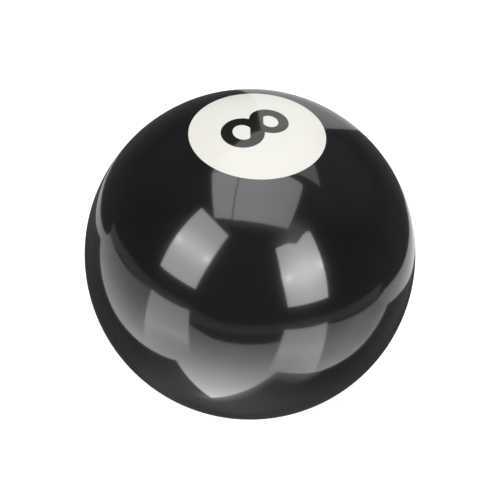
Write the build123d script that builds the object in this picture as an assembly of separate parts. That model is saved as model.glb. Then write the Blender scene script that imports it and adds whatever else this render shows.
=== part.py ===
from build123d import *
import math
import os

# Numbered pool ball, the eight, in cast phenolic resin. The ball is solid. Two number discs of ivory resin,
# one at each pole, are cast into the black body, and each disc holds a black numeral that was poured into a
# pocket in its face. All five pieces are ground and polished together, so every outer face lies on one
# sphere and the joints between the pieces are flush.
#
# Frame: the origin is the ball's centre, +Z passes through the middle of the top number disc, and +Y points
# to the top of both numerals. Lengths are in millimetres, angles in degrees.

# Driving dimensions
BALL_DIAMETER = 57.15  # regulation size, 2 1/4 inches
DISC_DIAMETER = 22.7  # number disc, where it meets the ball's surface
DISC_DEPTH = 6.0  # from the pole to the disc's flat back
DISC_FLARE = 5.0  # the side wall widens inwards by this angle and locks the disc in
DISC_BACK_RADIUS = 1.2  # rounding of the disc's back rim
NUMERAL_DEPTH = 2.6  # from the pole to the numeral's flat back

# The numeral's outline, in the disc's own plane: x to the right, y up, both from the disc's centre.
# A lobe or counter is an ellipse: (centre x, centre y), half width, half height, tilt.
UPPER_LOBE = ((0.15, 2.20), 3.36, 3.17, 6.0)
LOWER_LOBE = ((0.00, -3.15), 3.71, 3.44, 10.0)
UPPER_COUNTER = ((0.42, 2.15), 1.58, 1.38, -14.0)
LOWER_COUNTER = ((0.04, -3.20), 1.86, 1.58, -6.0)
SPINE_ANGLE = -37.5  # of the thick stroke that falls from upper left to lower right
SPINE_UPPER_EDGE = 0.90  # from the disc's centre to the spine's two edges, square to the spine
SPINE_LOWER_EDGE = -1.28
COUNTER_CORNER_RADIUS = 0.30
WAIST_RADIUS = 0.25  # rounding of the two notches where the lobes meet

# Worked out from them
BALL_RADIUS = BALL_DIAMETER / 2
DISC_RADIUS = DISC_DIAMETER / 2
DISC_EDGE_Z = math.sqrt(BALL_RADIUS**2 - DISC_RADIUS**2)  # height of the disc's edge above the centre
DISC_BACK_Z = BALL_RADIUS - DISC_DEPTH
NUMERAL_BACK_Z = BALL_RADIUS - NUMERAL_DEPTH
CUT_MARGIN = 1.0  # how far the tools that cut at a pole stand out of the ball


def lobe(centre, half_width, half_height, tilt):
    """One ellipse of the numeral's outline."""
    return Pos(*centre) * Rot(0, 0, tilt) * Ellipse(half_width, half_height)


def beside_spine(offset, sign):
    """A large half plane above (sign 1) or below (sign -1) an edge of the spine, offset from the centre."""
    reach = DISC_DIAMETER
    return Rot(0, 0, SPINE_ANGLE) * Pos(0, offset + sign * reach / 2) * Rectangle(reach, reach)


def counter(ellipse, spine_edge, sign):
    """One closed eye of the numeral: an ellipse cut straight along the spine, its two corners rounded."""
    eye = lobe(*ellipse) & beside_spine(spine_edge, sign)
    return fillet(eye.vertices(), COUNTER_CORNER_RADIUS)


def numeral_outline():
    """The figure eight at the ball's surface, as a flat face with two eyes."""
    figure = lobe(*UPPER_LOBE) + lobe(*LOWER_LOBE)
    waist = [v for v in figure.vertices() if abs(v.Y) < DISC_RADIUS / 8]
    figure = fillet(waist, WAIST_RADIUS)
    figure -= counter(UPPER_COUNTER, SPINE_UPPER_EDGE, 1)
    figure -= counter(LOWER_COUNTER, SPINE_LOWER_EDGE, -1)
    return figure


def numeral_plug():
    """The numeral's pocket as a solid that stands out of the ball: straight walls and a flat back."""
    back_face = Pos(0, 0, NUMERAL_BACK_Z) * numeral_outline()
    return extrude(back_face, amount=NUMERAL_DEPTH + CUT_MARGIN)


def disc_plug():
    """The disc's pocket as a solid of revolution that stands out of the ball: flared wall, round back rim."""
    slope = math.tan(math.radians(DISC_FLARE))
    top_z = BALL_RADIUS + CUT_MARGIN
    top_radius = DISC_RADIUS - (top_z - DISC_EDGE_Z) * slope
    back_radius = DISC_RADIUS + (DISC_EDGE_Z - DISC_BACK_Z) * slope
    corners = [(0, top_z), (top_radius, top_z), (back_radius, DISC_BACK_Z), (0, DISC_BACK_Z)]
    section = Plane.XZ * make_face(Polyline(corners, close=True))
    plug = revolve(section, Axis.Z)
    back_rim = plug.edges().filter_by(GeomType.CIRCLE).sort_by(Axis.Z)[0]
    return fillet(back_rim, DISC_BACK_RADIUS)


def pole_inlays():
    """The number disc and the numeral of the top pole."""
    ball = Sphere(BALL_RADIUS)
    figure = numeral_plug()
    disc = disc_plug() & ball
    return disc - figure, figure & ball


def body(poles):
    """The black ball with a disc's pocket at each pole."""
    ball = Sphere(BALL_RADIUS)
    for pole in poles:
        ball -= pole * disc_plug()
    return ball


def main():
    os.makedirs("parts", exist_ok=True)
    poles = {"top": Rot(0, 0, 0), "bottom": Rot(0, 180, 0)}
    disc, numeral = pole_inlays()
    nodes = {"ball_body": body(poles.values())}
    for name, pole in poles.items():
        nodes[f"number_disc_{name}"] = pole * disc
        nodes[f"numeral_{name}"] = pole * numeral
    for node, shape in nodes.items():
        export_step(shape.solid(), f"parts/{node}.step")


main()
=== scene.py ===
# The numbered pool ball, the eight: its finished pieces, its studio and its camera.
# Lengths are in metres, except where a name ends in _MM or a comment says otherwise, and angles are in
# degrees. The frame is the part's own: the origin is the ball's centre, +Z passes through the middle of the
# top number disc, and +Y points to the top of both numerals.

import math

import bmesh
import bpy
import numpy as np
from mathutils import Matrix, Vector
from mathutils.geometry import delaunay_2d_cdt


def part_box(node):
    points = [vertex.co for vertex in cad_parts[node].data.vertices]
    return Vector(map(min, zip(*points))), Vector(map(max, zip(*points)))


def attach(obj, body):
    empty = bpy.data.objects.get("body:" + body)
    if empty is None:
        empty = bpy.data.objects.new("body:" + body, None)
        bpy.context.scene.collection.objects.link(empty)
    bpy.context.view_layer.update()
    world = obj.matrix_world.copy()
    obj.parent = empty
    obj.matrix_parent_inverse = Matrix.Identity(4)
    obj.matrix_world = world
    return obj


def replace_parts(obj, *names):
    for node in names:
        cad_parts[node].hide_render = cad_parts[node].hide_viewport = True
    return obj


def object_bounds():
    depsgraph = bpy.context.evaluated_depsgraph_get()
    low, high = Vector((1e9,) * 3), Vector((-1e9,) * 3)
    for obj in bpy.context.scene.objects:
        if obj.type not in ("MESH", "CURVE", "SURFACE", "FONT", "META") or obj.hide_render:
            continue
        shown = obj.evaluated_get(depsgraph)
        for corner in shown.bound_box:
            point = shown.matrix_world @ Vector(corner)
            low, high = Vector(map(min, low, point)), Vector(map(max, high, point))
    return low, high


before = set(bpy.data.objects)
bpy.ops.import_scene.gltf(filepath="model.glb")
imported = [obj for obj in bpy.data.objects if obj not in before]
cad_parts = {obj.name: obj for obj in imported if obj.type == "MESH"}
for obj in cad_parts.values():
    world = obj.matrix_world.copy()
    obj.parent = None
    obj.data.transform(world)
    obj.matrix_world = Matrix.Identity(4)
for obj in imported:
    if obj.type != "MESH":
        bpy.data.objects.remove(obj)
cad_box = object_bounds()

MM = 0.001

# Sizes read from the frame
BALL_RADIUS = cad_box[1].z
DISC_EDGE_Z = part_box("ball_body")[1].z
DISC_RADIUS = math.sqrt(BALL_RADIUS**2 - DISC_EDGE_Z**2)
DISC_BACK_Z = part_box("number_disc_top")[0].z
DISC_BACK_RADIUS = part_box("number_disc_top")[1].x
NUMERAL_BACK_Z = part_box("numeral_top")[0].z

# The rounding of a disc's back rim, as in the design
BACK_RIM_ROUNDING = 1.2 * MM

# The numeral's outline, as in the design: x to the right and y up from the disc's centre, in millimetres.
# Each ellipse is (centre x, centre y), half width, half height, tilt.
UPPER_LOBE = ((0.15, 2.20), 3.36, 3.17, 6.0)
LOWER_LOBE = ((0.00, -3.15), 3.71, 3.44, 10.0)
UPPER_EYE = ((0.42, 2.15), 1.58, 1.38, -14.0)
LOWER_EYE = ((0.04, -3.20), 1.86, 1.58, -6.0)
WAIST = (0.05, -0.35)  # a point inside both lobes
SPINE_ANGLE = -37.5  # of the thick stroke that falls from upper left to lower right
SPINE_UPPER_EDGE = 0.90  # from the disc's centre to the spine's two edges, square to the spine
SPINE_LOWER_EDGE = -1.28
CORNER_SOFTNESS_MM = 0.32  # length of outline over which a corner is rounded off

# Fineness of the meshes
ROUND_STEPS = 288  # round the ball and the discs
WALL_POINTS = 5  # down a disc's flared wall
RIM_POINTS = 9  # round its back rim
BACK_RINGS = 4  # from there to its axis
TRACE_RAYS = 4000  # with which an outline of the numeral is first traced
OUTLINE_STEP_MM = 0.08
FACE_STEP_MM = 0.38
SAME_POINT_MM = 1e-7
WELD_DISTANCE = 0.001 * MM
SURFACE_TOLERANCE = 0.002 * MM  # a point this close to the ball's surface is on it
SHARP_ANGLE = 30


# ---------------------------------------------------------------- the numeral's outline


def ellipse_exit(start, direction, ellipse):
    """How far a ray from a point inside an ellipse goes before it leaves the ellipse."""
    centre, half_width, half_height, tilt = ellipse
    turn = Matrix.Rotation(math.radians(-tilt), 2)
    shrink = Vector((1 / half_width, 1 / half_height))
    here = (turn @ (Vector(start) - Vector(centre))) * shrink
    ahead = (turn @ Vector(direction)) * shrink
    a, b, c = ahead.dot(ahead), here.dot(ahead), here.dot(here) - 1
    return (math.sqrt(b * b - a * c) - b) / a


def line_exit(start, direction, offset):
    """How far a ray goes before it meets the spine's edge at that offset, or infinity if it never does."""
    square = Vector((-math.sin(math.radians(SPINE_ANGLE)), math.cos(math.radians(SPINE_ANGLE))))
    gap = offset - square.dot(Vector(start))
    speed = square.dot(Vector(direction))
    return gap / speed if gap * speed > 0 else math.inf


def trace(start, reach):
    """A closed outline, as points in millimetres: reach(direction) away from start in every direction."""
    points = []
    for angle in np.linspace(0, 2 * math.pi, TRACE_RAYS, endpoint=False):
        direction = (math.cos(angle), math.sin(angle))
        points.append(np.add(start, np.multiply(direction, reach(direction))))
    return soften(even_steps(np.array(points)))


def even_steps(loop):
    """The same closed outline with its points evenly spaced, OUTLINE_STEP_MM or a little less apart."""
    closed = np.vstack([loop, loop[:1]])
    along = np.concatenate([[0], np.cumsum(np.linalg.norm(np.diff(closed, axis=0), axis=1))])
    stops = np.linspace(0, along[-1], math.ceil(along[-1] / OUTLINE_STEP_MM), endpoint=False)
    return np.column_stack([np.interp(stops, along, closed[:, k]) for k in range(2)])


def soften(loop):
    """Rounds off a closed outline's corners by averaging each point with its neighbours."""
    side = round(CORNER_SOFTNESS_MM / OUTLINE_STEP_MM / 2)
    return sum(np.roll(loop, k, axis=0) for k in range(-side, side + 1)) / (2 * side + 1)


def numeral_loops():
    """The figure eight's outer outline and its two eyes."""
    outer = trace(WAIST, lambda d: max(ellipse_exit(WAIST, d, lobe) for lobe in (UPPER_LOBE, LOWER_LOBE)))
    eyes = [
        trace(eye[0], lambda d: min(ellipse_exit(eye[0], d, eye), line_exit(eye[0], d, edge)))
        for eye, edge in ((UPPER_EYE, SPINE_UPPER_EDGE), (LOWER_EYE, SPINE_LOWER_EDGE))
    ]
    return [outer, *eyes]


# ---------------------------------------------------------------- meshes


def circle(radius):
    angles = np.linspace(0, 2 * math.pi, ROUND_STEPS, endpoint=False)
    return np.column_stack([np.cos(angles), np.sin(angles)]) * radius


def is_inside(points, loops):
    """Which points lie inside an odd number of the closed outlines."""
    odd = np.zeros(len(points), bool)
    for loop in loops:
        x0, y0 = loop.T
        x1, y1 = np.roll(loop, -1, axis=0).T
        for k, (x, y) in enumerate(points):
            spans = (y0 > y) != (y1 > y)
            crossing = x0[spans] + (y - y0[spans]) / (y1[spans] - y0[spans]) * (x1[spans] - x0[spans])
            odd[k] ^= bool(np.count_nonzero(crossing > x) % 2)
    return odd


def fill(loops):
    """Triangles over the area inside an odd number of the outlines, as (points in millimetres, triangles)."""
    low, high = loops[0].min(0), loops[0].max(0)
    rows = np.arange(low[1], high[1], FACE_STEP_MM * math.sqrt(0.75))
    columns = np.arange(low[0], high[0], FACE_STEP_MM)
    lattice = np.array([(x + FACE_STEP_MM / 2 * (k % 2), y) for k, y in enumerate(rows) for x in columns])
    outline = np.vstack(loops)
    clear = np.array([np.abs(outline - p).max(1).min() > FACE_STEP_MM / 2 for p in lattice])
    lattice = lattice[clear]
    lattice = lattice[is_inside(lattice, loops)]
    edges, first = [], 0
    for loop in loops:
        count = len(loop)
        edges += [(first + k, first + (k + 1) % count) for k in range(count)]
        first += count
    points = [Vector(p) for p in np.vstack([outline, lattice])]
    points, _, faces = delaunay_2d_cdt(points, edges, [], 0, SAME_POINT_MM)[:3]
    points = np.array(points)
    wanted = is_inside(points[np.array(faces)].mean(1), loops)
    return points, [face for face, keep in zip(faces, wanted) if keep]


def on_ball(x, y):
    return math.sqrt(BALL_RADIUS**2 - x * x - y * y)


class Shell:
    """Gathers sheets and bands of faces, and welds them into one closed mesh."""

    def __init__(self):
        self.mesh = bmesh.new()

    def face(self, points):
        self.mesh.faces.new([self.mesh.verts.new(p) for p in points])

    def sheet(self, filled, height, up):
        """A triangulated area at height(x, y), facing up or down."""
        points, faces = filled
        lifted = [(x * MM, y * MM, height(x * MM, y * MM)) for x, y in points]
        verts = [self.mesh.verts.new(p) for p in lifted]
        for face in faces:
            self.mesh.faces.new([verts[k] for k in (face if up else reversed(face))])

    def band(self, upper, lower):
        """Quads between two closed rows of points with the same count."""
        rows = [[self.mesh.verts.new(p) for p in row] for row in (upper, lower)]
        count = len(upper)
        for k in range(count):
            after = (k + 1) % count
            self.mesh.faces.new([rows[0][k], rows[1][k], rows[1][after], rows[0][after]])

    def turned(self, section):
        """The surface that a half section, (radius, z) from axis or edge to axis or edge, sweeps about Z."""
        for (r0, z0), (r1, z1) in zip(section, section[1:]):
            ring0 = [(x, y, z0) for x, y in circle(r0)]
            ring1 = [(x, y, z1) for x, y in circle(r1)]
            if r0 == 0 or r1 == 0:
                tip, ring = ((0, 0, z0), ring1) if r0 == 0 else ((0, 0, z1), ring0)
                for k in range(ROUND_STEPS):
                    self.face([tip, ring[k], ring[(k + 1) % ROUND_STEPS]])
            else:
                self.band(ring0, ring1)

    def finished(self, name):
        """The welded mesh as an object. What lies on the ball's surface is shaded as a true sphere."""
        bmesh.ops.remove_doubles(self.mesh, verts=self.mesh.verts, dist=WELD_DISTANCE)
        bmesh.ops.recalc_face_normals(self.mesh, faces=self.mesh.faces)
        for edge in self.mesh.edges:
            edge.smooth = edge.calc_face_angle(math.pi) < math.radians(SHARP_ANGLE)
        data = bpy.data.meshes.new(name)
        self.mesh.to_mesh(data)
        self.mesh.free()
        data.shade_smooth()
        normals = [Vector(n.vector) for n in data.corner_normals]
        for polygon in data.polygons:
            corners = [data.vertices[k].co for k in polygon.vertices]
            if all(abs(c.length - BALL_RADIUS) < SURFACE_TOLERANCE for c in corners):
                for k, corner in zip(polygon.loop_indices, corners):
                    normals[k] = corner.normalized()
        data.normals_split_custom_set(normals)
        piece = bpy.data.objects.new(name, data)
        bpy.context.collection.objects.link(piece)
        return piece


def pocket_section():
    """A disc's buried side, as (radius, z): from its edge down the flared wall and round to the axis."""
    wall_height = DISC_EDGE_Z - DISC_BACK_Z - BACK_RIM_ROUNDING
    slope = (DISC_BACK_RADIUS - DISC_RADIUS) / wall_height
    drops = np.linspace(0, wall_height, WALL_POINTS)
    wall = [(DISC_RADIUS + slope * drop, DISC_EDGE_Z - drop) for drop in drops]
    rim_radius, rim_z = wall[-1][0] - BACK_RIM_ROUNDING, wall[-1][1]
    rim = [
        (rim_radius + BACK_RIM_ROUNDING * math.cos(a), rim_z - BACK_RIM_ROUNDING * math.sin(a))
        for a in np.linspace(0, math.pi / 2, RIM_POINTS)[1:]
    ]
    back = [(rim_radius * (1 - k / BACK_RINGS), DISC_BACK_Z) for k in range(1, BACK_RINGS + 1)]
    return [*wall, *rim, *back]


def make_body():
    """The black ball: a sphere between the two disc edges, and a pocket for a disc at each pole."""
    pocket = pocket_section()
    edge_angle = math.asin(DISC_RADIUS / BALL_RADIUS)
    angles = np.linspace(edge_angle, math.pi - edge_angle, ROUND_STEPS // 3)
    surface = [(BALL_RADIUS * math.sin(a), BALL_RADIUS * math.cos(a)) for a in angles]
    top = [(r, z) for r, z in reversed(pocket)]
    bottom = [(r, -z) for r, z in pocket]
    shell = Shell()
    shell.turned([*top[:-1], *surface, *bottom[1:]])
    return shell.finished("black_ball")


def walls(shell, loops):
    """Straight walls round each of the numeral's outlines, from the ball's surface to the numeral's back."""
    for loop in loops:
        surface = [(x, y, on_ball(x, y)) for x, y in loop * MM]
        back = [(x, y, NUMERAL_BACK_Z) for x, y in loop * MM]
        shell.band(surface, back)


def make_disc(name, loops, figure):
    """A white disc: its face on the ball, the numeral's pocket sunk in it, and its flared, rounded back."""
    shell = Shell()
    shell.sheet(fill([circle(DISC_RADIUS / MM), *loops]), on_ball, up=True)
    walls(shell, loops)
    shell.sheet(figure, lambda x, y: NUMERAL_BACK_Z, up=True)
    shell.turned(pocket_section())
    return shell.finished(name)


def make_numeral(name, loops, figure):
    """A black figure eight: its face on the ball, its walls and its flat back."""
    shell = Shell()
    shell.sheet(figure, on_ball, up=True)
    walls(shell, loops)
    shell.sheet(figure, lambda x, y: NUMERAL_BACK_Z, up=False)
    return shell.finished(name)


# ---------------------------------------------------------------- materials


class Nodes:
    """A short way to build a material's nodes."""

    def __init__(self, name):
        self.material = bpy.data.materials.new(name)
        self.material.use_nodes = True
        self.tree = self.material.node_tree
        self.tree.nodes.clear()
        self.output = self.tree.nodes.new("ShaderNodeOutputMaterial")

    def add(self, kind, inputs=(), **settings):
        """A node, with its inputs set to numbers or linked to other nodes' outputs."""
        node = self.tree.nodes.new("ShaderNode" + kind)
        for key, value in settings.items():
            setattr(node, key, value)
        for key, value in dict(inputs).items():
            if isinstance(value, bpy.types.NodeSocket):
                self.tree.links.new(value, node.inputs[key])
            else:
                node.inputs[key].default_value = value
        return node

    def finish(self, shader):
        """The material, with this shader as its surface."""
        self.tree.links.new(shader.outputs[0], self.output.inputs["Surface"])
        return self.material

    def math(self, operation, first, *others):
        """The operation on two values, or carried on through a row of them."""
        for other in others or (0.0,):
            first = self.add("Math", {0: first, 1: other}, operation=operation).outputs[0]
        return first

    def spread(self, value, low, high, to_low, to_high):
        """value rescaled from low..high to to_low..to_high, and held inside it."""
        inputs = {"Value": value, "From Min": low, "From Max": high, "To Min": to_low, "To Max": to_high}
        return self.add("MapRange", inputs).outputs["Result"]

    def bell(self, value, centre, width):
        """1 where value is at centre, falling away on both sides of it."""
        off = self.math("DIVIDE", self.math("SUBTRACT", value, centre), width)
        return self.math("EXPONENT", self.math("MULTIPLY", off, off, -1.0))

    def hill(self, across, along, centre, width, depth, height):
        """A smooth rise of that height over a centre, falling away on all sides of it."""
        bells = self.bell(across, centre[0], width), self.bell(along, centre[1], depth)
        return self.math("MULTIPLY", *bells, height)

    def noise(self, place, scale, detail=2.0, roughness=0.5):
        inputs = {"Vector": place, "Scale": scale, "Detail": detail, "Roughness": roughness}
        return self.add("TexNoise", inputs).outputs["Fac"]


# The resin's finish. A noise scale is in features per metre.
MOTTLE_SCALE = 160.0
CLOUD_SCALE = 45.0
HAZE_SCALE = 120.0
WEAR_SCALE = 70.0
RIPPLE_SCALE = 260.0
CLEAR_ROUGHNESS, HAZY_ROUGHNESS = 0.04, 0.08
HAIRLINE_ROUGHNESS = 0.10  # what a scratch adds to it
HAIRLINE_DEPTH = 0.3  # of a scratch, as a share of the ripple's height
HAIRLINE_TURNS = ((0.3, 0.9, 0.2), (1.4, 0.2, 1.9), (0.8, 2.3, 0.9))  # in radians
HAIRLINE_LENGTH = 9 * MM
HAIRLINE_WIDTH = 0.16 * MM
RELIEF_HEIGHT, RELIEF_STRENGTH = 0.01 * MM, 0.04
HALO_ROUGHNESS = 0.15  # of the faint halo that polished resin puts round a bright reflection
SCATTER_DEPTH = 0.7 * MM  # of light inside a translucent resin
SCATTER_SHARES = (1.0, 0.85, 0.6)  # of that depth, for red, green and blue


def hairlines(nodes, place, turn):
    """Fine straight scratches that run one way, as a mask from 0 to 1."""
    stretch = (1 / HAIRLINE_LENGTH, 1 / HAIRLINE_WIDTH, 1 / HAIRLINE_WIDTH)
    inputs = {"Vector": place, "Rotation": turn, "Scale": stretch}
    stretched = nodes.add("Mapping", inputs, vector_type="POINT").outputs[0]
    return nodes.spread(nodes.noise(stretched, 1.0, 0.0), 0.74, 0.80, 0.0, 1.0)


def resin(name, dark, light, ior=1.55, shine=0.35, halo=0.3, translucency=0.0):
    """Cast and polished phenolic resin: very glossy, slightly mottled, with faint haze and hairlines."""
    nodes = Nodes(name)
    place = nodes.add("TexCoord").outputs["Object"]
    mottle = nodes.noise(place, MOTTLE_SCALE, 5.0, 0.6)
    cloud = nodes.noise(place, CLOUD_SCALE, 2.0)
    tone = nodes.spread(nodes.math("MULTIPLY", mottle, cloud), 0.12, 0.40, 0.0, 1.0)
    colour = nodes.add("Mix", {"Factor": tone, "A": (*dark, 1), "B": (*light, 1)}, data_type="RGBA")
    marks = 0.0
    for turn in HAIRLINE_TURNS:
        marks = nodes.math("MAXIMUM", hairlines(nodes, place, turn), marks)
    worn = nodes.spread(nodes.noise(place, WEAR_SCALE, 3.0), 0.50, 0.68, 0.0, 1.0)
    marks = nodes.math("MULTIPLY", marks, worn)
    haze = nodes.noise(place, HAZE_SCALE, 4.0, 0.65)
    polish = nodes.spread(haze, 0.3, 0.7, CLEAR_ROUGHNESS, HAZY_ROUGHNESS)
    roughness = nodes.math("ADD", polish, nodes.math("MULTIPLY", marks, HAIRLINE_ROUGHNESS))
    ripple = nodes.noise(place, RIPPLE_SCALE, 2.0)
    relief = nodes.math("SUBTRACT", ripple, nodes.math("MULTIPLY", marks, HAIRLINE_DEPTH))
    bump = nodes.add("Bump", {"Height": relief, "Strength": RELIEF_STRENGTH, "Distance": RELIEF_HEIGHT})
    inputs = {
        "Base Color": [s for s in colour.outputs if s.type == "RGBA"][0],
        "Roughness": roughness,
        "IOR": ior,
        "Specular IOR Level": shine,
        "Coat Weight": halo,
        "Coat Roughness": HALO_ROUGHNESS,
        "Coat IOR": ior,
        "Normal": bump.outputs[0],
        "Subsurface Weight": translucency,
        "Subsurface Radius": SCATTER_SHARES,
        "Subsurface Scale": SCATTER_DEPTH,
    }
    return nodes.finish(nodes.add("BsdfPrincipled", inputs))


# ---------------------------------------------------------------- the ball

black_resin = resin("black_resin", (0.0024, 0.0024, 0.0026), (0.0038, 0.0038, 0.0040))
numeral_resin = resin(
    "numeral_resin", (0.0068, 0.0063, 0.0050), (0.0095, 0.0088, 0.0071), shine=0.42, halo=0.15
)
white_resin = resin(
    "white_resin", (0.855, 0.845, 0.780), (0.885, 0.875, 0.815), ior=1.45, shine=0.12, halo=0.1,
    translucency=0.15,
)

loops = numeral_loops()
figure = fill(loops)
body = make_body()
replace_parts(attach(body, "root"), "ball_body")
body.data.materials.append(black_resin)
for pole, turn in (("top", 0), ("bottom", 180)):
    flip = Matrix.Rotation(math.radians(turn), 4, "Y")
    disc = make_disc(f"white_disc_{pole}", loops, figure)
    numeral = make_numeral(f"figure_eight_{pole}", loops, figure)
    for piece, node, slot, material in (
        (disc, f"number_disc_{pole}", "white_resin", white_resin),
        (numeral, f"numeral_{pole}", "numeral_resin", numeral_resin),
    ):
        piece.data.transform(flip)
        piece.data.materials.append(material)
        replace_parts(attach(piece, "root"), node)


# ---------------------------------------------------------------- camera

CAMERA_AZIMUTH = 49.4  # round the ball from -Y towards +X
CAMERA_ELEVATION = 41.7
CAMERA_ROLL = 3.5
CAMERA_DISTANCE = 12 * BALL_RADIUS
CAMERA_LENS_MM = 142.5
CAMERA_SENSOR_MM = 36
CAMERA_SHIFT = 0.0085
CAMERA_NEAREST = 0.01  # nothing closer than this is seen

# The studio's own axes: X to the camera's right, Y away from the camera, Z up, from the ball's centre.
STUDIO = Matrix.Rotation(math.radians(CAMERA_AZIMUTH), 4, "Z")


def towards(bearing, elevation):
    """Unit vector in the studio's axes, bearing degrees to the right of the camera's own direction."""
    side, rise = math.radians(bearing), math.radians(elevation)
    return Vector((math.sin(side) * math.cos(rise), -math.cos(side) * math.cos(rise), math.sin(rise)))


def facing(direction, distance):
    """The matrix of something that far from the ball's centre, with its own Z away from the ball and Y up."""
    aim = direction.to_track_quat("Z", "Y").to_matrix().to_4x4()
    return STUDIO @ Matrix.Translation(direction * distance) @ aim


def make_camera():
    data = bpy.data.cameras.new("camera")
    data.lens = CAMERA_LENS_MM
    data.sensor_width = CAMERA_SENSOR_MM
    data.shift_y = CAMERA_SHIFT
    data.clip_start = CAMERA_NEAREST
    camera = bpy.data.objects.new("camera", data)
    bpy.context.collection.objects.link(camera)
    roll = Matrix.Rotation(math.radians(CAMERA_ROLL), 4, "Z")
    camera.matrix_world = facing(towards(0, CAMERA_ELEVATION), CAMERA_DISTANCE) @ roll
    bpy.context.scene.camera = camera


make_camera()


# ---------------------------------------------------------------- studio


def glow(name, strength, pattern=None, colour=(1, 1, 1), see_through=False):
    """A shining material. pattern(nodes, place), where there is one, varies its strength over it."""
    nodes = Nodes(name)
    place = nodes.add("TexCoord").outputs["Object"]
    if pattern:
        strength = nodes.math("MULTIPLY", pattern(nodes, place), strength)
    shine = nodes.add("Emission", {"Color": (*colour, 1), "Strength": strength})
    if see_through:
        clear = nodes.add("BsdfTransparent")
        shine = nodes.add("AddShader", {0: clear.outputs[0], 1: shine.outputs[0]})
    nodes.material.cycles.emission_sampling = "NONE"  # only reflections see it
    return nodes.finish(shine)


def card(name, corners, material, matrix=STUDIO):
    """A flat panel that only reflections show."""
    data = bpy.data.meshes.new(name)
    data.from_pydata([tuple(c) for c in corners], [], [range(len(corners))])
    data.materials.append(material)
    panel = bpy.data.objects.new(name, data)
    panel.matrix_world = matrix
    bpy.context.collection.objects.link(panel)
    panel.visible_camera = False
    panel.visible_diffuse = False
    panel.visible_shadow = False


def lamp(name, direction, distance, width, height, power):
    """Soft light for the matt parts of the scene. The cards stand for it in reflections."""
    data = bpy.data.lights.new(name, "AREA")
    data.shape = "RECTANGLE"
    data.size, data.size_y = width, height
    data.energy = power
    light = bpy.data.objects.new(name, data)
    light.matrix_world = facing(direction, distance)
    light.visible_glossy = False
    bpy.context.collection.objects.link(light)


# Softboxes. Each outline is in the panel's own plane, to the right and up, in distances from the ball.
SOFTBOX_DISTANCE = 1.1
LEFT_SOFTBOX = ((-0.286, -0.403), (0.248, -0.411), (0.284, 0.378), (-0.227, 0.429))
RIGHT_SOFTBOX = (
    (-0.300, -0.362), (0.212, -0.414), (0.250, 0.364), (0.236, 0.405), (0.192, 0.403), (0.138, 0.390),
    (0.014, 0.330), (-0.079, 0.386), (-0.252, 0.394), (-0.293, 0.02),
)
SOFTBOX_HALF_HEIGHT = 0.4
SOFTBOX_FOOT, SOFTBOX_TOP = 1.05, 0.93  # strength at the lower and upper edge
BAND_STRENGTH = 0.55
SPOT_STRENGTH = 0.65
SPOT_CENTRE = (0.207, -0.01)  # of the right one
SPOT_WIDTH, SPOT_HEIGHT = 0.045, 0.04
CORE_WIDTH, CORE_HEIGHT = 0.22, 0.42
SOFTBOX_LAMP_WIDTH, SOFTBOX_LAMP_HEIGHT, SOFTBOX_LAMP_POWER = 0.6, 0.9, 2.3


def softbox_pattern(band_height, core_strength):
    """Brightest in a level band, with a hot spot at each end of it and a wide core in the middle."""

    def pattern(nodes, place):
        across, up = nodes.add("SeparateXYZ", {0: place}).outputs[:2]
        band = nodes.math("MULTIPLY", nodes.bell(up, 0.0, band_height), BAND_STRENGTH)
        either_side = nodes.math("ABSOLUTE", across)
        spots = nodes.hill(either_side, up, SPOT_CENTRE, SPOT_WIDTH, SPOT_HEIGHT, SPOT_STRENGTH)
        core = nodes.hill(across, up, (0.0, 0.0), CORE_WIDTH, CORE_HEIGHT, core_strength)
        slope = nodes.spread(up, -SOFTBOX_HALF_HEIGHT, SOFTBOX_HALF_HEIGHT, SOFTBOX_FOOT, SOFTBOX_TOP)
        return nodes.math("ADD", slope, band, spots, core)

    return pattern


def softbox(name, bearing, elevation, outline, glow_colour, strength, pattern):
    direction = towards(bearing, elevation)
    matrix = facing(direction, SOFTBOX_DISTANCE) @ Matrix.Scale(SOFTBOX_DISTANCE, 4)
    card(name, [(x, y, 0) for x, y in outline], glow(name, strength, pattern, glow_colour), matrix)
    lamp_name = name + "_lamp"
    lamp(lamp_name, direction, SOFTBOX_DISTANCE, SOFTBOX_LAMP_WIDTH, SOFTBOX_LAMP_HEIGHT, SOFTBOX_LAMP_POWER)


softbox("left_softbox", -47.8, 32.7, LEFT_SOFTBOX, (0.970, 0.968, 1.0), 6.3, softbox_pattern(0.145, 0.0))
softbox("right_softbox", 42.0, 24.2, RIGHT_SOFTBOX, (0.980, 0.980, 1.0), 6.5, softbox_pattern(0.17, 0.30))

# Overhead panels: two side by side over the ball, and a larger dim one beyond them. Each outline is in the
# studio's own axes, to the right and away. The backdrop beyond the ball has its outline to the right and up.
OVERHEAD = 1.0
NEAR_PANELS_BACK = 0.20
LEFT_PANEL = ((-0.498, -0.442), (-0.261, -0.477), (-0.150, NEAR_PANELS_BACK), (-0.474, NEAR_PANELS_BACK))
RIGHT_PANEL = (
    (-0.248, -0.483), (0.510, -0.549), (0.563, 0.10), (0.550, 0.130), (0.52, 0.146), (0.46, 0.157),
    (0.38, 0.175), (0.30, NEAR_PANELS_BACK), (-0.140, NEAR_PANELS_BACK),
)
FAR_PANEL = (
    (-0.47, 0.21), (0.40, 0.222), (0.46, 0.252), (0.58, 0.264), (0.84, 0.249), (0.71, 0.56), (0.92, 2.22),
    (-0.01, 2.22), (0.014, 1.47), (0.04, 1.00), (-0.05, 0.89), (-0.245, 0.585),
)
SPILL = (
    (-0.40, -0.46), (-0.30, -0.80), (0.70, -0.95), (1.00, -0.60), (0.80, 0.10), (0.595, 0.10), (0.525, -0.55),
)
BACKDROP_DISTANCE = 1.9
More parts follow.
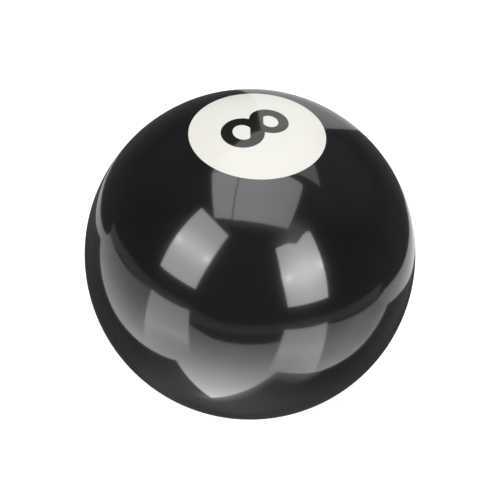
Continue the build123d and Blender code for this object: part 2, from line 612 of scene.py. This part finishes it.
BACKDROP = (
    (0.0, 1.0), (-0.085, -0.43), (-0.08, -1.3), (0.28, -1.3), (0.40, -1.0), (0.62, -0.56), (0.75, -0.21),
    (0.84, 0.18), (0.86, 0.47), (0.90, 1.0),
)


def fades_to_the_right(nodes, place):
    """A little fainter towards the right."""
    right = nodes.add("SeparateXYZ", {0: place}).outputs[0]
    return nodes.spread(right, 0.05, 0.50, 1.0, 0.82)


def fades_with_distance(nodes, place):
    """Brightest where the near panels light the far one's edge, and fainter to the right and at the back."""
    right, away = nodes.add("SeparateXYZ", {0: place}).outputs[:2]
    lit_part = nodes.spread(right, 0.30, 0.48, 1.2, 0.0)
    edge = nodes.math("MULTIPLY", nodes.bell(away, NEAR_PANELS_BACK, 0.28), lit_part)
    sideways = nodes.spread(right, 0.35, 0.65, 1.0, 0.86)
    distance = nodes.spread(away, 0.8, 2.2, 1.0, 0.86)
    return nodes.math("ADD", edge, nodes.math("MULTIPLY", sideways, distance))


def spills(nodes, place):
    """Light that leaks past the front corner and edge of the right panel."""
    right, away = nodes.add("SeparateXYZ", {0: place}).outputs[:2]
    corner = nodes.hill(right, away, (0.64, -0.74), 0.22, 0.28, 1.05)
    from_left = nodes.spread(right, -0.40, 0.40, 0.25, 0.6)
    to_right = nodes.spread(right, 0.5, 0.75, 1.0, 0.3)
    edge = nodes.math("MULTIPLY", nodes.bell(away, -0.50, 0.09), from_left, to_right)
    return nodes.math("ADD", corner, edge)


def rises(nodes, place):
    """Brighter towards the top."""
    up = nodes.add("SeparateXYZ", {0: place}).outputs[2]
    return nodes.spread(up, -0.4, 1.0, 0.55, 1.32)


def ceiling(outline, drop=0.0):
    return [(x, y, OVERHEAD - drop) for x, y in outline]


def glowing_card(name, corners, strength, pattern=None, colour=(1, 1, 1), see_through=False):
    """A card with a glow of the same name."""
    card(name, corners, glow(name, strength, pattern, colour, see_through))


glowing_card("overhead_left", ceiling(LEFT_PANEL), 3.9)
glowing_card("overhead_right", ceiling(RIGHT_PANEL), 4.0, fades_to_the_right, (1.0, 0.98, 0.968))
glowing_card("far_panel", ceiling(FAR_PANEL), 1.73, fades_with_distance, (1.0, 0.985, 0.97))
glowing_card("spill", ceiling(SPILL, 2 * MM), 1.0, spills, see_through=True)
glowing_card("backdrop", [(x, BACKDROP_DISTANCE, z) for x, z in BACKDROP], 1.0, rises)
lamp("overhead_lamp", towards(180, 80), OVERHEAD, 1.0, 1.0, 8.75)

# What the ball stands on, as its reflections show it. Outlines are to the right and away, in ball radii.
# Each sheet's glow is painted light and shade: a pool of light, shadows and reflections.
TABLE = (
    (-7.1, 2.05), (-8.6, -1.4), (-11.1, -6.0), (-8.0, -11.5), (-3.0, -4.7), (-1.2, -3.9), (1.4, -3.95),
    (2.70, -6.45), (4.15, -3.74), (3.77, -3.20), (3.77, -0.55), (3.95, -0.05), (3.55, 0.60), (2.54, 1.70),
    (1.90, 2.20), (-2.06, 2.62), (-3.08, 2.50), (-4.45, 1.95), (-5.54, 1.73),
)
MAT_CORNER = (0.58, -1.87)
MAT = (
    (-3.85, 1.35), (-1.97, -0.48), (-1.05, -1.50), (-0.29, -1.03), MAT_CORNER, (1.05, -1.28),
    (1.66, -0.77), (2.67, -0.07), (2.30, 0.45), (1.0, 1.75), (-1.68, 2.44), (-2.41, 2.04), (-3.09, 1.65),
)
# The ball's shadow painted on the mat: its middle, and two strips where it is darker still.
MAT_SHADOW = (-0.12, 0.95)  # the middle of the darkest part of the mat
MAT_DIM_STRIPS = ((1.15, 0.45, 0.78), (-2.05, 0.40, 0.70))  # how far to the right, how wide, how bright
# The two edges that meet at the mat's corner: the direction square to each, how wide its glow is, and how
# far away the glow ends
MAT_EDGES = (((0.695, 0.719), 0.08, -0.92), ((-0.782, 0.623), 0.22, -1.17))
MAT_EDGE_STRENGTH = 0.9
MAT_EDGE_FADE = 0.18
# Painted reflections of the two softboxes in the glossy table: a bright strip on each side, which fades in
# away from the pool of light.
LEFT_TABLE_GLINT = ((-11.1, -6.0), (-8.0, -11.5), (-0.72, -1.55), (-1.43, -1.05))
RIGHT_TABLE_GLINT = ((2.70, -6.45), (4.15, -3.74), (0.95, -1.29), (0.27, -1.60))
GLINT_FADE = 1.1
TABLE_SHADOW = (
    (4.35, -0.30), (4.35, -3.60), (3.20, -5.90), (-3.20, -5.90), (-9.90, -3.90), (-10.3, 0.30), (-7.50, 1.20),
)
LIT_FLOOR = (
    (5.4, 0), (4.3, -0.45), (0, -0.5), (-6.5, 1.8), (-11.5, 4.05), (-25, 0), (-60, -12), (-60, -60),
    (40, -60),
)
POOL_CENTRE = (-0.3, -1.0)
POOL_RADIUS = 1.4
POOL_STRENGTH = 3.8
TABLE_STRENGTH = 1.04
GRAIN_SCALE = 60.0  # features per metre
# Centre, width, depth and darkness of each dim patch in the table's painted pool of light
DIM_PATCHES = (((2.85, -0.55), 0.85, 0.60, 0.45), ((1.95, -0.88), 0.50, 0.35, 0.35))
FLOOR_STRENGTH = 0.3
FLOOR_EDGE_SOFTNESS = 0.018


def spot(nodes, place):
    """How far to the right and away a point is, in ball radii."""
    sides = nodes.add("SeparateXYZ", {0: place}).outputs[:2]
    return [nodes.math("DIVIDE", side, BALL_RADIUS) for side in sides]


def radii_from(nodes, place, centre):
    """Distance from a point on the table, in ball radii."""
    middle = Vector((*centre, -1)) * BALL_RADIUS
    distance = nodes.add("VectorMath", {0: place, 1: middle}, operation="DISTANCE").outputs["Value"]
    return nodes.math("DIVIDE", distance, BALL_RADIUS)


def pool_of_light(nodes, place):
    """Brightest just in front of the ball, fainter beside and behind it, with dim patches on the right."""
    reach = nodes.math("DIVIDE", radii_from(nodes, place, POOL_CENTRE), POOL_RADIUS)
    pool = nodes.math("DIVIDE", POOL_STRENGTH, nodes.math("ADD", nodes.math("MULTIPLY", reach, reach), 1.0))
    right, away = spot(nodes, place)
    for patch in DIM_PATCHES:
        pool = nodes.math("SUBTRACT", pool, nodes.hill(right, away, *patch))
    grain = nodes.spread(nodes.noise(place, GRAIN_SCALE, 4.0), 0.3, 0.7, 0.93, 1.07)
    back = nodes.math("ADD", away, nodes.math("MULTIPLY", nodes.math("MINIMUM", right, 0.0), 0.42))
    fall = nodes.spread(back, -0.5, 3.5, 1.0, 0.24)
    return nodes.math("MULTIPLY", nodes.math("ADD", pool, TABLE_STRENGTH), fall, grain)


def away_from_pool(start):
    """Grows from nothing at start, in ball radii from the middle of the pool of light."""

    def pattern(nodes, place):
        return nodes.spread(radii_from(nodes, place, POOL_CENTRE), start, start + GLINT_FADE, 0.0, 1.0)

    return pattern


def mat_light(nodes, place):
    """Painted shadow, dark under the ball. The mat's front corner and edges catch the light that falls before
    the ball, painted too.
    """
    right, away = spot(nodes, place)
    front = nodes.math("MULTIPLY", nodes.bell(right, -0.3, 0.8), nodes.spread(away, -1.25, -0.70, 0.43, 0.0))
    beside = nodes.hill(right, away, (-0.75, -0.66), 0.3, 0.22, 0.08)
    shadow = nodes.spread(radii_from(nodes, place, MAT_SHADOW), 1.5, 1.95, 0.065, 0.15)
    for centre, width, level in MAT_DIM_STRIPS:
        dimming = nodes.spread(nodes.bell(right, centre, width), 0.0, 1.0, 1.0, level)
        shadow = nodes.math("MULTIPLY", shadow, dimming)
    light = nodes.math("ADD", front, beside, shadow)
    for (inward, back), width, end in MAT_EDGES:
        depth = nodes.math("ADD", nodes.math("MULTIPLY", right, inward), nodes.math("MULTIPLY", away, back))
        edge = nodes.bell(depth, MAT_CORNER[0] * inward + MAT_CORNER[1] * back, width)
        strength = nodes.spread(away, end - MAT_EDGE_FADE, end, MAT_EDGE_STRENGTH, 0.0)
        light = nodes.math("ADD", light, nodes.math("MULTIPLY", edge, strength))
    return light


def floor_light(nodes, place):
    """Lit floor round the table, which fades out sooner on the right than on the left."""
    distance = radii_from(nodes, place, (0, 0))
    side = nodes.math("DIVIDE", spot(nodes, place)[0], distance)
    left_part = nodes.spread(side, -0.7, -0.3, 0.02, 0.09)
    right_part = nodes.spread(side, 0.6, 1.0, 0.0, 0.065)
    edge = nodes.math("ADD", left_part, right_part)
    nearness = nodes.math("SUBTRACT", nodes.math("DIVIDE", 1.0, distance), edge)
    return nodes.spread(nearness, -FLOOR_EDGE_SOFTNESS, FLOOR_EDGE_SOFTNESS, 0.0, FLOOR_STRENGTH)


def on_table(outline, lift=0.0):
    return [(x * BALL_RADIUS, y * BALL_RADIUS, lift - BALL_RADIUS) for x, y in outline]


# The lifts keep each sheet clear of the one under it.
glowing_card("lit_floor", on_table(LIT_FLOOR, -1 * MM), 1.0, floor_light, see_through=True)
glowing_card("table_shadow", on_table(TABLE_SHADOW, -0.5 * MM), 0.28)
glowing_card("tabletop", on_table(TABLE), 1.0, pool_of_light)
# The two strips are painted reflections of the softboxes in the table.
glowing_card("left_table_glint", on_table(LEFT_TABLE_GLINT, 0.2 * MM), 2.35, away_from_pool(1.2), see_through=True)
glowing_card("right_table_glint", on_table(RIGHT_TABLE_GLINT, 0.2 * MM), 2.65, away_from_pool(1.1), see_through=True)
# The mat's own dark colour, with the ball's shadow and the light on its front corner and edges painted on.
glowing_card("shadowed_dark_mat", on_table(MAT, 0.4 * MM), 1.0, mat_light)


# What the camera itself sees round the ball
FLOOR_SIZE = 4.0
FLOOR_GREY = 0.45
FLOOR_ROUGHNESS = 0.9
FLOOR_GLOW = 0.86
WALL_GLOW = 0.97


def make_floor():
    """A plain pale floor under the ball. Its own glow keeps it pale, and the lamps add the ball's shadow."""
    nodes = Nodes("pale_floor")
    inputs = {
        "Base Color": (FLOOR_GREY, FLOOR_GREY, FLOOR_GREY, 1),
        "Roughness": FLOOR_ROUGHNESS,
        "Emission Color": (1, 1, 1, 1),
        "Emission Strength": FLOOR_GLOW,
    }
    material = nodes.finish(nodes.add("BsdfPrincipled", inputs))
    material.cycles.emission_sampling = "NONE"  # it lights nothing
    bpy.ops.mesh.primitive_plane_add(size=FLOOR_SIZE, location=(0, 0, -BALL_RADIUS))
    floor = bpy.context.object
    floor.name = "pale_floor"
    floor.data.materials.append(material)
    floor.visible_glossy = False


def make_wall():
    """A pale wall round the floor. Only the camera sees it."""
    middle = (0, 0, FLOOR_SIZE / 2 - BALL_RADIUS)
    radius = FLOOR_SIZE / 2
    bpy.ops.mesh.primitive_cylinder_add(
        vertices=ROUND_STEPS, radius=radius, depth=FLOOR_SIZE, end_fill_type="NOTHING", location=middle
    )
    wall = bpy.context.object
    wall.name = "pale_wall"
    wall.data.materials.append(glow("pale_wall", WALL_GLOW))
    wall.visible_glossy = False
    wall.visible_diffuse = False
    wall.visible_shadow = False


ROOM_COLOUR = (0.98, 0.98, 1.0)
ROOM_GLOW = 0.09
ROOM_PATCHES = (  # where it comes from, the cosine at which it starts and is full, how bright it is
    (towards(0, 0), -0.3, 0.75, 0.125),
    (Vector((0.55, 0.45, 0.70)), 0.75, 0.95, 0.14),
    (Vector((-0.55, 0.45, 0.70)), 0.80, 0.95, 0.07),
    (Vector((0.0, 0.1, 1.0)), 0.4, 0.8, 0.04),
    (Vector((1.0, 0.3, 0.0)), 0.85, 1.0, 0.056),
    (Vector((-1.0, 0.35, 0.05)), 0.88, 1.0, 0.035),
)


def make_room():
    """A dark room, lighter on the camera's side and in a few soft patches round the ball."""
    world = bpy.data.worlds.new("room")
    world.use_nodes = True
    tree = world.node_tree
    background = tree.nodes["Background"]
    background.inputs["Color"].default_value = (*ROOM_COLOUR, 1)
    direction = tree.nodes.new("ShaderNodeTexCoord").outputs["Generated"]
    total = tree.nodes.new("ShaderNodeValue").outputs[0]
    total.default_value = ROOM_GLOW
    for centre, start, full, strength in ROOM_PATCHES:
        nearness = tree.nodes.new("ShaderNodeVectorMath")
        nearness.operation = "DOT_PRODUCT"
        nearness.inputs[1].default_value = STUDIO @ centre.normalized()
        tree.links.new(direction, nearness.inputs[0])
        patch = tree.nodes.new("ShaderNodeMapRange")
        for key, value in (("From Min", start), ("From Max", full), ("To Min", 0.0), ("To Max", strength)):
            patch.inputs[key].default_value = value
        tree.links.new(nearness.outputs["Value"], patch.inputs["Value"])
        both = tree.nodes.new("ShaderNodeMath")
        tree.links.new(total, both.inputs[0])
        tree.links.new(patch.outputs["Result"], both.inputs[1])
        total = both.outputs[0]
    tree.links.new(total, background.inputs["Strength"])
    bpy.context.scene.world = world


make_floor()
make_wall()
make_room()
bpy.context.scene.view_settings.view_transform = "Standard"
